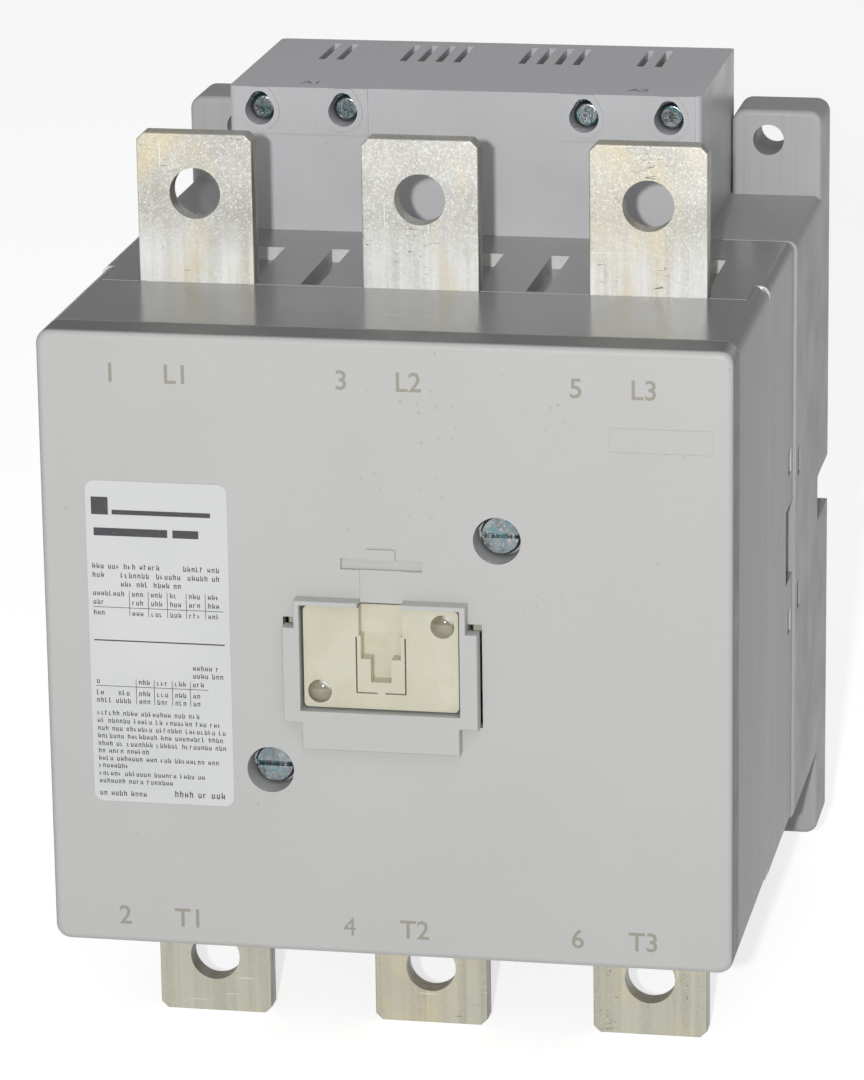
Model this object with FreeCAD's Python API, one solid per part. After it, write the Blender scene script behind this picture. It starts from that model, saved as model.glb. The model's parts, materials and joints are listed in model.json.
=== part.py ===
import FreeCAD, Part
import math
import os

# Three-pole magnetic contactor, in millimetres.
# The origin is the middle of the mounting face. The front looks along -Y, +Z is up.
# Depths are measured from the front face backwards, so Y = depth - DEPTH.

os.makedirs("parts", exist_ok=True)

# Outer sizes
DEPTH = 160.0
BLOCK_W = 145.0
BLOCK_H = 133.5
BASE_STEP = 0.65
COVER_DEPTH = 9.0
BAR_FRONT = 0.27875 * DEPTH
SIDE_JOINT = 0.35625 * DEPTH
BASE_FRONT = 0.61875 * DEPTH
COVER_CORNER_R = 3.2
BASE_CORNER_R = 2.0
COVER_EDGE_R = 1.5
REAR_EDGE_R = 0.7
SEAM = 0.25

# Walls and clearances
WALL = 3.0
END_WALL = 6.0
BASE_WALL = 3.5
BASE_BACK_WALL = 4.0
PARTITION_T = 3.0
RUN_GAP = 0.3
SEAT_GAP = 0.1
SCREW_GAP = 0.1
STOP_GAP = 0.05
OVERLAP = 1.0
HOLE_SPARE = 1.0
NEAR = 1e-6

# Slotted screws
SCREW_R = 2.5
SCREW_HEAD_R = 4.25
SCREW_HEAD_H = 3.3
SCREW_HEAD_CHAMFER = 0.4
SCREW_SLOT = 1.2
SCREW_SLOT_D = 1.5

# Poles and terminal bars
POLE_SPREAD = 0.5
POLE_NAMES = ["1", "2", "3"]
BAR_W = 25.0
BAR_T = 5.0
BAR_REACH = 32.2
BAR_INNER = 14.0
BAR_CHAMFER = 1.5
BAR_EDGE_R = 0.35
BAR_HOLE_R = 5.5
BAR_HOLE_FROM_TIP = 12.9
BAR_SCREW_EDGE = 21.75
PIT_W = 23.4
PIT_D = 2.9
PIT_EDGE = 20.0
POLE_SLOT_W = 4.0
POLE_SLOT_INSET = 1.0
POLE_SLOT_SHORT = 0.4

# Contacts
TIP_T = 2.0
TIP_W = 14.0
TIP_L = 10.0
TIP_Z = 22.0
CONTACT_GAP = 6.05
BRIDGE_W = 16.0
BRIDGE_T = 4.0
BRIDGE_OVERHANG = 1.0
BRIDGE_CHAMFER = 1.0
BEAM_FRONT_T = 4.05

# Moving contact carrier
STROKE = 8.0
BEAM_H = 22.0
BEAM_END = 13.5
BEAM_BACK_T = 4.4
ARM_W = 12.0

# Front face: the port, the cover screws and the label
FACE_X = -0.5
FACE_Z = -0.6
WINDOW_W = 33.7
WINDOW_H = 22.9
NOSE_GAP = 0.55
NOSE_DEPTH = -1.8
NOSE_CORNER_R = 1.0
FRAME_RISE = 3.6
FRAME_SIDE = 1.2
FRAME_TOP = 0.9
FRAME_EDGE_R = 0.35
FLAP_W = 33.2
FLAP_BOTTOM = -19.8
EAR_OUT = 20.5
EAR_TOP = 6.5
EAR_BOTTOM = -14.1
HOOK_SLOT_OUT = 0.45
HOOK_SLOT_TOP = 1.3
GUIDE_W = 9.2
GUIDE_D = 0.35
CATCH_W = 17.1
CATCH_H = 2.45
CATCH_Z = 19.7
CATCH_D = 1.2
CATCH_TAB_W = 6.0
CATCH_TAB_H = 2.2
CATCH_TAB_RISE = 0.7
CHANNEL_D = 3.0
DRIVE_W = 10.6
DRIVE_TOP = 4.9
DRIVE_BOTTOM = -7.6
DRIVE_SLIT = 0.3
DRIVE_SLIT_D = 2.2
DRIVE_BRIDGE_W = 1.7
DRIVE_HEAD_W = 8.4
DRIVE_HEAD_H = 5.0
DRIVE_NECK_W = 4.3
DRIVE_NECK_H = 5.0
DRIVE_D = 3.6
DOME_R = 2.45
DOME_SINK = 1.2
DOME_RISE = 0.75
DOME_X = 13.0
DOME_Z = 7.5
COVER_FACE_T = 3.0
STOP_RIB_H = 11.0
COVER_SCREW_Z = 25.85
COVER_SCREW_HOLE_R = 5.0
COVER_SCREW_SUNK = 4.3
COVER_SCREW_SHORT = 1.0
BOSS_R = 7.0
BOSS_END = 11.0
POST_R = 6.0
LABEL_W = 30.1
LABEL_H = 70.0
LABEL_EDGE = 24.75
LABEL_T = 0.2
LABEL_R = 2.0
FIELD_EDGE_X = 14.7
FIELD_EDGE_Z = 19.15
FIELD_W = 21.4
FIELD_H = 5.3
FIELD_LINE = 0.25
FIELD_D = 0.12

# Arc chutes
PLATE_T = 1.6
PLATE_CLEAR = 6.5
PLATE_COUNT = 6
PLATE_ROOM = 5.5
PLATE_IN = 32.0
PLATE_EDGE = 6.75
PLATE_START = 14.0
PLATE_NOTCH_W = 14.0
PLATE_NOTCH_L = 10.0
CHEEK_T = 1.5
CHEEK_FRONT_CLEAR = 1.0
CHEEK_CLEAR = 4.6

# Magnet, coil and armature
STACK_EDGE = 48.75
CORE_W = 96.0
CORE_YOKE = 16.0
CORE_LEG = 13.0
CORE_MID_LEG = 24.0
BUFFER_T = 3.5
BUFFER_SIZE = 14.0
ARMATURE_YOKE = 14.0
RING_T = 2.0
RING_SUNK = 0.3
RING_EDGE = 8.5
RING_OUT = 2.2
BOBBIN_SUNK = 2.0
ARMATURE_L = 24.15
BOBBIN_FLANGE_T = 2.0
BOBBIN_TUBE_T = 1.5
BOBBIN_ROOM = 1.0
BOBBIN_EDGE = 26.75
WINDING_INSET = 2.5
FOOT_T = 8.2
FOOT_EDGE = 3.75
FOOT_SHORT = 2.0
FOOT_RIB_W = 18.0
CHEEK_PLATE_T = 4.7
CHEEK_PLATE_W = 20.0
CHEEK_PLATE_L = 13.8
ARMATURE_PIN_R = 3.0
PIN_GAP = 0.05
CUSHION_T = 1.5
RETURN_SPRING_EDGE = 9.0
RETURN_SPRING_R = 5.2
RETURN_SPRING_WIRE = 1.4
RETURN_SPRING_TURNS = 7
CONTACT_SPRING_R = 4.6
CONTACT_SPRING_WIRE = 1.4
CONTACT_SPRING_TURNS = 4
CORE_RIB_T = 3.0
CORE_RIB_L = 20.0
CORE_RIB_W = 60.0

# Mounting ears
EAR_W = 20.45
EAR_H = 19.45
EAR_T = 15.5
EAR_R = 3.0
EAR_EDGE_R = 1.2
MOUNT_HOLE_R = 3.5
MOUNT_HOLE_EDGE_X = 12.15
MOUNT_HOLE_RISE = 12.65
NOTCH_TOP = 2.0
NOTCH_BOTTOM = -8.7
NOTCH_D = 4.2
NOTCH_DEPTH = 19.5

# Side clips between the contact base and the base housing
CLIP_Z = 18.3
CLIP_H = 5.6
CLIP_REACH = 8.0
CLIP_EDGE = 3.0
CLIP_MID_H = 17.0
CLIP_MID_REACH = 12.0
CLIP_TONGUE_T = 2.3
CLIP_TONGUE_H = 5.0
CLIP_NOSE = 2.0
CLIP_WINDOW_Z = 15.5
CLIP_WINDOW_H = 6.0
CLIP_WINDOW_EDGE = 3.5
CLIP_WINDOW_L = 5.0

# Screws that join the housings
JOINT_SCREW_EDGE = 16.75
JOINT_SCREW_R = 2.5
JOINT_SCREW_HEAD_R = 4.4
JOINT_SCREW_HEAD_H = 3.2
JOINT_SCREW_SHORT = 30.0
COLUMN_R = 5.0

# Coil terminal housing
COIL_AHEAD = 3.0
COIL_BACK_GAP = 9.0
COIL_WALL = 2.5
COIL_EDGE_R = 1.2
COIL_SCREW_EDGE = 6.9
COIL_SCREW_PITCH = 18.7
COIL_SCREW_DROP = 5.2
COIL_PANEL_W = 31.1
COIL_PANEL_H = 10.4
COIL_PANEL_RISE = 0.5
COLLAR_R = 4.4
COLLAR_TOP_R = 3.2
COLLAR_LIFT = 2.6
COLLAR_RISE = 1.0
COIL_HOLE_R = 3.25
COIL_HOLE_TOP_R = 2.2
COIL_HOLE_LIFT = 2.1
COIL_SCREW_HEAD_R = 2.9
COIL_SCREW_HEAD_H = 2.4
COIL_SCREW_EDGE_R = 0.8
COIL_SCREW_SUNK = 2.8
COIL_SCREW_R = 1.75
COIL_SCREW_L = 12.0
CROSS_W = 0.8
CROSS_L = 3.2
CROSS_D = 1.2
CLAMP_SIZE = 8.0
CLAMP_T = 1.5
CLAMP_POST_L = 12.0
VENT_W = 1.6
VENT_L = 18.3
VENT_EDGE = 5.0
VENT_PITCH = 4.1
VENT_IN = 7.4
VENT_IN_COUNT = 4
VENT_SIDE = 14.1
VENT_SIDE_COUNT = 2
LEAD_HOLE_EDGE = 12.4
LEAD_HOLE_IN = 9.0
LEAD_HOLE_L = 30.0
TONGUE_D = 5.0
TONGUE_T = 2.0
TONGUE_W = 20.0

# Places and sizes that follow from the ones above
HALF_W = BLOCK_W / 2
HALF_H = BLOCK_H / 2
BASE_W = BLOCK_W + 2 * BASE_STEP
POLE_PITCH = (BLOCK_W + POLE_SPREAD) / len(POLE_NAMES)
POLES_X = [-POLE_PITCH, 0.0, POLE_PITCH]
BAR_BACK = BAR_FRONT + BAR_T
BAR_SCREW_Z = HALF_H - BAR_SCREW_EDGE
PIT_END = BASE_FRONT - PIT_EDGE
POLE_SLOT_START = BAR_FRONT + POLE_SLOT_INSET
POLE_SLOT_END = PIT_END - POLE_SLOT_SHORT
COVER_SCREW_X = POLE_PITCH / 2
COVER_SCREW_END = SIDE_JOINT - COVER_SCREW_SHORT
LABEL_X = LABEL_EDGE - HALF_W
FIELD_X = HALF_W - FIELD_EDGE_X
FIELD_Z = HALF_H - FIELD_EDGE_Z
FIXED_TIP_FACE = BAR_FRONT - TIP_T
MOVING_TIP_FACE = FIXED_TIP_FACE - CONTACT_GAP
BRIDGE_BACK = MOVING_TIP_FACE - TIP_T
BRIDGE_FRONT = BRIDGE_BACK - BRIDGE_T
BRIDGE_HALF_L = TIP_Z + TIP_L / 2 + BRIDGE_OVERHANG
BEAM_FRONT = 0.075 * DEPTH
BEAM_WINDOW_FRONT = BEAM_FRONT + BEAM_FRONT_T
BEAM_BACK = BRIDGE_BACK + STOP_GAP + BEAM_BACK_T
BEAM_HALF_W = POLE_PITCH + BEAM_END
PLATE_PITCH = (BAR_FRONT - PLATE_CLEAR - PLATE_T - PLATE_START) / (PLATE_COUNT - 1)
PLATE_W = POLE_PITCH - PARTITION_T - 2 * CHEEK_T - PLATE_ROOM
PLATE_L = HALF_H - PLATE_EDGE - PLATE_IN
CHEEK_START = BOSS_END + CHEEK_FRONT_CLEAR
CHEEK_END = BAR_FRONT - CHEEK_CLEAR
CORE_FACE = 0.6875 * DEPTH
BACK_INNER = DEPTH - BASE_BACK_WALL
CORE_BACK = BACK_INNER - BUFFER_T
STACK_H = 2 * (HALF_H - STACK_EDGE)
CUSHION_H = 0.6 * STACK_H
RING_X = CORE_W / 2 - RING_EDGE
BOBBIN_FRONT = CORE_FACE + BOBBIN_SUNK
BOBBIN_BACK = CORE_BACK - CORE_YOKE
BOBBIN_W = CORE_W - 2 * CORE_LEG - 2 * BOBBIN_ROOM
BOBBIN_H = 2 * (HALF_H - BOBBIN_EDGE)
ARMATURE_FACE = CORE_FACE - STROKE - SEAT_GAP
ARMATURE_FRONT = ARMATURE_FACE - ARMATURE_L
FOOT_BACK = ARMATURE_FRONT - CUSHION_T - STOP_GAP
FOOT_H = BOBBIN_H - 2 * FOOT_SHORT
ARM_END = FOOT_BACK - FOOT_T
ARM_X = POLE_PITCH / 2
FOOT_W = 2 * (ARM_X + ARM_W / 2 + FOOT_EDGE)
RETURN_SPRING_Z = BOBBIN_H / 2 - RETURN_SPRING_EDGE
MOUNT_HOLE_X = BASE_W / 2 - MOUNT_HOLE_EDGE_X
MOUNT_HOLE_Z = HALF_H + MOUNT_HOLE_RISE
NOTCH_START = DEPTH - NOTCH_DEPTH
CLIP_INNER_X = HALF_W - WALL - RUN_GAP
CLIP_START = BASE_FRONT - CLIP_REACH
CLIP_END = BASE_FRONT - CLIP_EDGE
CLIP_MID_START = BASE_FRONT - CLIP_MID_REACH
CLIP_WINDOW_START = BASE_FRONT + CLIP_WINDOW_EDGE
JOINT_SCREW_Z = HALF_H - JOINT_SCREW_EDGE
JOINT_SCREW_END = DEPTH - JOINT_SCREW_SHORT
COIL_W = BASE_W - 2 * (EAR_W + RUN_GAP)
COIL_FRONT = BASE_FRONT - COIL_AHEAD
COIL_BACK = DEPTH - COIL_BACK_GAP
COIL_TOP = HALF_H + BAR_REACH
COIL_PANEL_IN = COIL_W / 2 - COIL_PANEL_W
COIL_SCREW_OUT = COIL_W / 2 - COIL_SCREW_EDGE
COIL_SCREWS_X = [side * (COIL_SCREW_OUT - row * COIL_SCREW_PITCH) for side in (-1, 1) for row in (0, 1)]
COIL_SCREW_Z = COIL_TOP - COIL_SCREW_DROP
CLAMP_FRONT = COIL_FRONT + COIL_SCREW_SUNK + COIL_SCREW_HEAD_H
CLAMP_BACK = CLAMP_FRONT + CLAMP_T
VENT_END = COIL_BACK - VENT_EDGE
VENT_START = VENT_END - VENT_L
VENTS_X = ([VENT_IN + row * VENT_PITCH for row in range(VENT_IN_COUNT)]
           + [COIL_W / 2 - VENT_SIDE - row * VENT_PITCH for row in range(VENT_SIDE_COUNT)])
LEAD_HOLE_W = COIL_W - 2 * LEAD_HOLE_EDGE
LEAD_HOLE_START = BASE_FRONT + LEAD_HOLE_IN
LEAD_HOLE_END = LEAD_HOLE_START + LEAD_HOLE_L


def block(x0, x1, d0, d1, z0, z1):
    corner = FreeCAD.Vector(min(x0, x1), d0 - DEPTH, min(z0, z1))
    return Part.makeBox(abs(x1 - x0), d1 - d0, abs(z1 - z0), corner)


def centred(x, width, d0, d1, z, height):
    return block(x - width / 2, x + width / 2, d0, d1, z - height / 2, z + height / 2)


def rod(x, z, radius, d0, d1):
    start = FreeCAD.Vector(x, d0 - DEPTH, z)
    return Part.makeCylinder(radius, d1 - d0, start, FreeCAD.Vector(0, 1, 0))


def straight_edges(shape, direction, test=None):
    """The straight edges that lie along a direction and pass a test of their middle point."""
    found = []
    for edge in shape.Edges:
        if not isinstance(edge.Curve, Part.Line):
            continue
        along = edge.Vertexes[1].Point - edge.Vertexes[0].Point
        middle = (edge.Vertexes[1].Point + edge.Vertexes[0].Point) * 0.5
        if along.cross(direction).Length < NEAR and (test is None or test(middle)):
            found.append(edge)
    return found


def round_depth_edges(shape, radius, test=None):
    return shape.makeFillet(radius, straight_edges(shape, FreeCAD.Vector(0, 1, 0), test))


def rounded(x, width, d0, d1, z, height, radius):
    return round_depth_edges(centred(x, width, d0, d1, z, height), radius)


def edges_in_plane(shape, depth, test=None):
    """The edges that lie in the plane at one depth."""
    found = []
    for edge in shape.Edges:
        points = [edge.valueAt(p) for p in (edge.FirstParameter, edge.LastParameter)]
        points.append(edge.CenterOfMass)
        if all(abs(p.y - (depth - DEPTH)) < NEAR for p in points):
            if test is None or test(edge.CenterOfMass):
                found.append(edge)
    return found


def fuse_all(shapes):
    solid = shapes[0]
    if len(shapes) > 1:
        solid = shapes[0].multiFuse(shapes[1:])
    return solid.removeSplitter()


def cut_all(solid, tools):
    return solid.cut(tools[0].multiFuse(tools[1:])) if len(tools) > 1 else solid.cut(tools[0])


def egg(x, z, radius, top_radius, lift, d0, d1):
    """A prism along Y whose section is a round foot under a smaller round top."""
    lean = math.asin((radius - top_radius) / lift)
    side = math.cos(lean)
    rise = math.sin(lean)
    y = d0 - DEPTH

    def at(px, pz):
        return FreeCAD.Vector(x + px, y, z + pz)

    low_right = at(radius * side, radius * rise)
    low_left = at(-radius * side, radius * rise)
    top_right = at(top_radius * side, lift + top_radius * rise)
    top_left = at(-top_radius * side, lift + top_radius * rise)
    outline = Part.Wire([
        Part.Arc(low_left, at(0, -radius), low_right).toShape(),
        Part.LineSegment(low_right, top_right).toShape(),
        Part.Arc(top_right, at(0, lift + top_radius), top_left).toShape(),
        Part.LineSegment(top_left, low_left).toShape(),
    ])
    return Part.Face(outline).extrude(FreeCAD.Vector(0, d1 - d0, 0))


def coil_spring(x, z, radius, wire_radius, turns, d0, d1):
    """A compression spring along Y between two depths, as one swept wire."""
    height = d1 - d0 - 2 * wire_radius
    helix = Part.makeHelix(height / turns, height, radius)
    profile = Part.Wire(Part.makeCircle(
        wire_radius, FreeCAD.Vector(radius, 0, 0), FreeCAD.Vector(0, 1, 0)))
    spring = Part.Wire(helix).makePipeShell([profile], True, True)
    spring.rotate(FreeCAD.Vector(0, 0, 0), FreeCAD.Vector(1, 0, 0), -90)
    spring.translate(FreeCAD.Vector(x, d0 + wire_radius - DEPTH, z))
    return spring


def save(name, shape):
    shape.exportStep("parts/" + name + ".step")


def cover_screw_places():
    return [(FACE_X + COVER_SCREW_X, FACE_Z + COVER_SCREW_Z),
            (FACE_X - COVER_SCREW_X, FACE_Z - COVER_SCREW_Z)]


def port_frame():
    """The raised frame round the port, its hook rails at the sides and its lower flap."""
    frame_w = WINDOW_W + 2 * FRAME_SIDE
    top = FACE_Z + WINDOW_H / 2 + FRAME_TOP
    bottom = FACE_Z + FLAP_BOTTOM
    ear_z = FACE_Z + (EAR_TOP + EAR_BOTTOM) / 2
    body = block(FACE_X - frame_w / 2, FACE_X + frame_w / 2, -FRAME_RISE, COVER_FACE_T,
                 FACE_Z + EAR_BOTTOM, top)
    flap = block(FACE_X - FLAP_W / 2, FACE_X + FLAP_W / 2, -FRAME_RISE, COVER_FACE_T, bottom, top)
    rails = centred(FACE_X, 2 * EAR_OUT, -FRAME_RISE, 0, ear_z, EAR_TOP - EAR_BOTTOM)
    raised = fuse_all([body, flap, rails])
    return raised.makeFillet(FRAME_EDGE_R, edges_in_plane(raised, -FRAME_RISE))


def hook_slots():
    """The slots in the cover under the hook rails; each shows beside its rail and above it."""
    inner = WINDOW_W / 2 + FRAME_SIDE
    z0 = FACE_Z + EAR_BOTTOM - HOOK_SLOT_OUT
    z1 = FACE_Z + EAR_TOP + HOOK_SLOT_TOP
    slots = []
    for side in (-1, 1):
        x0 = FACE_X + side * inner
        x1 = FACE_X + side * (EAR_OUT + HOOK_SLOT_OUT)
        slots.append(block(x0, x1, 0, COVER_FACE_T, z0, z1))
    return slots


def front_cover():
    shell = rounded(0, BLOCK_W, 0, COVER_DEPTH, 0, BLOCK_H, COVER_CORNER_R)
    shell = shell.makeFillet(COVER_EDGE_R, edges_in_plane(shell, 0))
    shell = shell.makeChamfer(SEAM, edges_in_plane(shell, COVER_DEPTH))
    inside = rounded(0, BLOCK_W - 2 * WALL, COVER_FACE_T, COVER_DEPTH, 0, BLOCK_H - 2 * WALL,
                     COVER_CORNER_R / 2)
    shell = cut_all(shell, [inside] + hook_slots())
    added = [shell, port_frame()]
    holes = []
    for x, z in cover_screw_places():
        added.append(rod(x, z, BOSS_R, COVER_FACE_T / 2, BOSS_END))
        holes.append(rod(x, z, COVER_SCREW_HOLE_R, 0, COVER_SCREW_SUNK + SCREW_HEAD_H))
        holes.append(rod(x, z, SCREW_R + SCREW_GAP, 0, BOSS_END))
    for x in (-POLE_PITCH, POLE_PITCH):
        added.append(centred(x, PARTITION_T, COVER_FACE_T / 2, BEAM_FRONT - STOP_GAP, 0, STOP_RIB_H))
    catch_z = FACE_Z + CATCH_Z
    tab_z0 = catch_z + CATCH_H / 2
    added.append(block(FACE_X - CATCH_TAB_W / 2, FACE_X + CATCH_TAB_W / 2, -CATCH_TAB_RISE,
                       COVER_FACE_T / 2, tab_z0, tab_z0 + CATCH_TAB_H))
    holes.append(centred(FACE_X, CATCH_W, 0, CATCH_D, catch_z, CATCH_H))
    holes.append(block(FACE_X - GUIDE_W / 2, FACE_X + GUIDE_W / 2, -FRAME_RISE, GUIDE_D,
                       FACE_Z, catch_z))
    holes.append(centred(FACE_X, WINDOW_W, -FRAME_RISE, COVER_FACE_T, FACE_Z, WINDOW_H))
    field = centred(FIELD_X, FIELD_W, 0, FIELD_D, FIELD_Z, FIELD_H)
    inner_field = centred(FIELD_X, FIELD_W - 2 * FIELD_LINE, 0, FIELD_D, FIELD_Z,
                          FIELD_H - 2 * FIELD_LINE)
    holes.append(field.cut(inner_field))
    return cut_all(fuse_all(added), holes)


def rating_label():
    return rounded(LABEL_X, LABEL_W, -LABEL_T, 0, 0, LABEL_H, LABEL_R)


def arc_chamber():
    tube = rounded(0, BLOCK_W, COVER_DEPTH, SIDE_JOINT, 0, BLOCK_H, COVER_CORNER_R)
    for depth in (COVER_DEPTH, SIDE_JOINT):
        tube = tube.makeChamfer(SEAM, edges_in_plane(tube, depth))
    tube = tube.cut(centred(0, BLOCK_W - 2 * WALL, COVER_DEPTH, SIDE_JOINT, 0, BLOCK_H - 2 * WALL))
    tube = tube.cut(centred(0, BLOCK_W - 2 * WALL, BAR_FRONT, SIDE_JOINT, 0, BLOCK_H))
    top_seam = edges_in_plane(tube, BAR_FRONT, lambda p: abs(abs(p.z) - HALF_H) < NEAR)
    tube = tube.makeChamfer(SEAM, top_seam)
    added = [tube]
    holes = [centred(0, BLOCK_W - 2 * WALL, COVER_DEPTH, BAR_FRONT, 0, BEAM_H + 2 * RUN_GAP)]
    for x in (-POLE_PITCH / 2, POLE_PITCH / 2):
        added.append(centred(x, PARTITION_T, COVER_DEPTH, BAR_FRONT, 0, BLOCK_H - WALL))
    for x, z in cover_screw_places():
        added.append(rod(x, z, POST_R, BOSS_END, BAR_FRONT))
        holes.append(rod(x, z, SCREW_R + SCREW_GAP, BOSS_END, BAR_FRONT))
        holes.append(rod(x, z, BOSS_R + SEAT_GAP, COVER_DEPTH, BOSS_END))
    return cut_all(fuse_all(added), holes)


def bar_places():
    return [(x, side) for side in (1, -1) for x in POLES_X]


def clip_slots():
    """The slots in the side walls of the contact base that take the clips of the base housing."""
    slots = []
    for side in (-1, 1):
        inner = side * (HALF_W - WALL - OVERLAP)
        outer = side * (HALF_W + OVERLAP)
        slots.append(block(inner, outer, CLIP_MID_START, BASE_FRONT, -CLIP_MID_H / 2, CLIP_MID_H / 2))
        for z in (-CLIP_Z, CLIP_Z):
            slots.append(block(inner, outer, CLIP_START, CLIP_END, z - CLIP_H / 2, z + CLIP_H / 2))
    return slots


def joint_screw_places():
    return [(x, z) for x in (-ARM_X, ARM_X) for z in (-JOINT_SCREW_Z, JOINT_SCREW_Z)]


def contact_base():
    body = rounded(0, BLOCK_W, SIDE_JOINT, BASE_FRONT, 0, BLOCK_H, BASE_CORNER_R)
    body = body.makeFillet(REAR_EDGE_R, edges_in_plane(body, BASE_FRONT))
    seat_w = BLOCK_W - 2 * WALL - 2 * SEAT_GAP
    seat = centred(0, seat_w, BAR_FRONT, SIDE_JOINT, 0, BLOCK_H)
    body = body.cut(centred(0, BLOCK_W - 2 * WALL, SIDE_JOINT, BASE_FRONT, 0, BLOCK_H - 2 * END_WALL))
    added = [body, seat]
    bar_in = BAR_INNER - SEAT_GAP
    holes = [centred(0, 2 * (BEAM_HALF_W + RUN_GAP), BAR_FRONT, BAR_BACK, 0, BEAM_H + 2 * RUN_GAP)]
    for x, side in bar_places():
        z0, z1 = side * bar_in, side * HALF_H
        width = BAR_W + 2 * SEAT_GAP
        holes.append(block(x - width / 2, x + width / 2, BAR_FRONT, BAR_BACK, z0, z1))
        holes.append(block(x - PIT_W / 2, x + PIT_W / 2, BAR_BACK, PIT_END,
                           side * (HALF_H - PIT_D), z1))
        holes.append(rod(x, side * BAR_SCREW_Z, SCREW_R + SCREW_GAP, BAR_BACK, SIDE_JOINT))
    for x in (-ARM_X, ARM_X):
        holes.append(centred(x, ARM_W + 2 * RUN_GAP, BAR_BACK, SIDE_JOINT, 0, BEAM_H + 2 * RUN_GAP))
        for side in (-1, 1):
            holes.append(block(x - POLE_SLOT_W / 2, x + POLE_SLOT_W / 2, POLE_SLOT_START,
                               POLE_SLOT_END, side * (HALF_H - PIT_D), side * HALF_H))
    for x, z in cover_screw_places():
        holes.append(rod(x, z, SCREW_R + SCREW_GAP, BAR_FRONT, SIDE_JOINT))
    for x, z in joint_screw_places():
        added.append(rod(x, z, COLUMN_R, SIDE_JOINT, BASE_FRONT))
        holes.append(rod(x, z, JOINT_SCREW_R + SCREW_GAP, BAR_FRONT, BASE_FRONT))
        holes.append(rod(x, z, JOINT_SCREW_HEAD_R + SCREW_GAP, BAR_FRONT,
                         BAR_FRONT + JOINT_SCREW_HEAD_H))
    return cut_all(fuse_all(added), holes + clip_slots())


def mounting_ear(side_x, side_z):
    x0 = side_x * (BASE_W / 2 - EAR_W)
    x1 = side_x * BASE_W / 2
    z0 = side_z * (HALF_H - WALL)
    z1 = side_z * (HALF_H + EAR_H)
    ear = block(x0, x1, DEPTH - EAR_T, DEPTH, z0, z1)
    ear = round_depth_edges(ear, EAR_R, lambda p: abs(p.z) > HALF_H)
    return ear.makeFillet(EAR_EDGE_R, edges_in_plane(ear, DEPTH - EAR_T, lambda p: abs(p.z) > HALF_H))


def side_clips(side):
    """The snap tongues of the base housing at one side, reaching into the contact base."""
    inner = side * (CLIP_INNER_X - CLIP_TONGUE_T)
    outer = side * CLIP_INNER_X
    root = side * (BASE_W / 2 - BASE_WALL / 2)
    nose = side * (CLIP_INNER_X + CLIP_NOSE)
    clips = []
    rows = [(-CLIP_Z, CLIP_TONGUE_H, CLIP_START + RUN_GAP), (CLIP_Z, CLIP_TONGUE_H, CLIP_START + RUN_GAP),
            (0.0, CLIP_MID_H - 2 * RUN_GAP, CLIP_END - CLIP_TONGUE_T)]
    for z, height, start in rows:
        z0, z1 = z - height / 2, z + height / 2
        clips.append(block(inner, outer, start, BASE_FRONT, z0, z1))
        clips.append(block(inner, root, BASE_FRONT, BASE_FRONT + CLIP_NOSE, z0, z1))
        clips.append(block(outer, nose, start, start + CLIP_NOSE, z0, z1))
    return clips


def base_housing():
    body = rounded(0, BASE_W, BASE_FRONT, DEPTH, 0, BLOCK_H, BASE_CORNER_R)
    body = body.cut(centred(0, BASE_W - 2 * BASE_WALL, BASE_FRONT, BACK_INNER, 0,
                            BLOCK_H - 2 * BASE_WALL))
    added = [body]
    holes = [centred(0, LEAD_HOLE_W, LEAD_HOLE_START, LEAD_HOLE_END, HALF_H, 2 * END_WALL)]
    for side_x in (-1, 1):
        for side_z in (-1, 1):
            added.append(mounting_ear(side_x, side_z))
            holes.append(rod(side_x * MOUNT_HOLE_X, side_z * MOUNT_HOLE_Z, MOUNT_HOLE_R,
                             DEPTH - EAR_T, DEPTH))
        added += side_clips(side_x)
        holes.append(block(side_x * (BASE_W / 2 - NOTCH_D), side_x * BASE_W / 2, NOTCH_START, DEPTH,
                           NOTCH_BOTTOM, NOTCH_TOP))
        added.append(block(side_x * (BASE_W / 2 - NOTCH_D - BASE_WALL), side_x * (BASE_W / 2 - OVERLAP),
                           NOTCH_START - BASE_WALL, DEPTH, NOTCH_BOTTOM - BASE_WALL,
                           NOTCH_TOP + BASE_WALL))
        for z in (-CLIP_WINDOW_Z, CLIP_WINDOW_Z):
            holes.append(block(side_x * (BASE_W / 2 - 2 * BASE_WALL), side_x * BASE_W / 2,
                               CLIP_WINDOW_START, CLIP_WINDOW_START + CLIP_WINDOW_L, z - CLIP_WINDOW_H / 2,
                               z + CLIP_WINDOW_H / 2))
    for side in (-1, 1):
        z0 = side * (STACK_H / 2 + RUN_GAP)
        added.append(block(-CORE_RIB_W / 2, CORE_RIB_W / 2, BACK_INNER - CORE_RIB_L, BACK_INNER,
                           z0, z0 + side * CORE_RIB_T).cut(
                               centred(0, BOBBIN_W + 2 * RUN_GAP, BASE_FRONT, BOBBIN_BACK, 0, BLOCK_H)))
        x0 = side * (CORE_W / 2 + RUN_GAP)
        added.append(block(x0, x0 + side * CORE_RIB_T, BACK_INNER - CORE_RIB_L, BACK_INNER,
                           -STACK_H / 2, STACK_H / 2))
    for x, z in joint_screw_places():
        added.append(rod(x, z, COLUMN_R, BASE_FRONT, BACK_INNER))
        holes.append(rod(x, z, JOINT_SCREW_R + SCREW_GAP, BASE_FRONT, JOINT_SCREW_END + HOLE_SPARE))
    return cut_all(fuse_all(added), holes)


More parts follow.
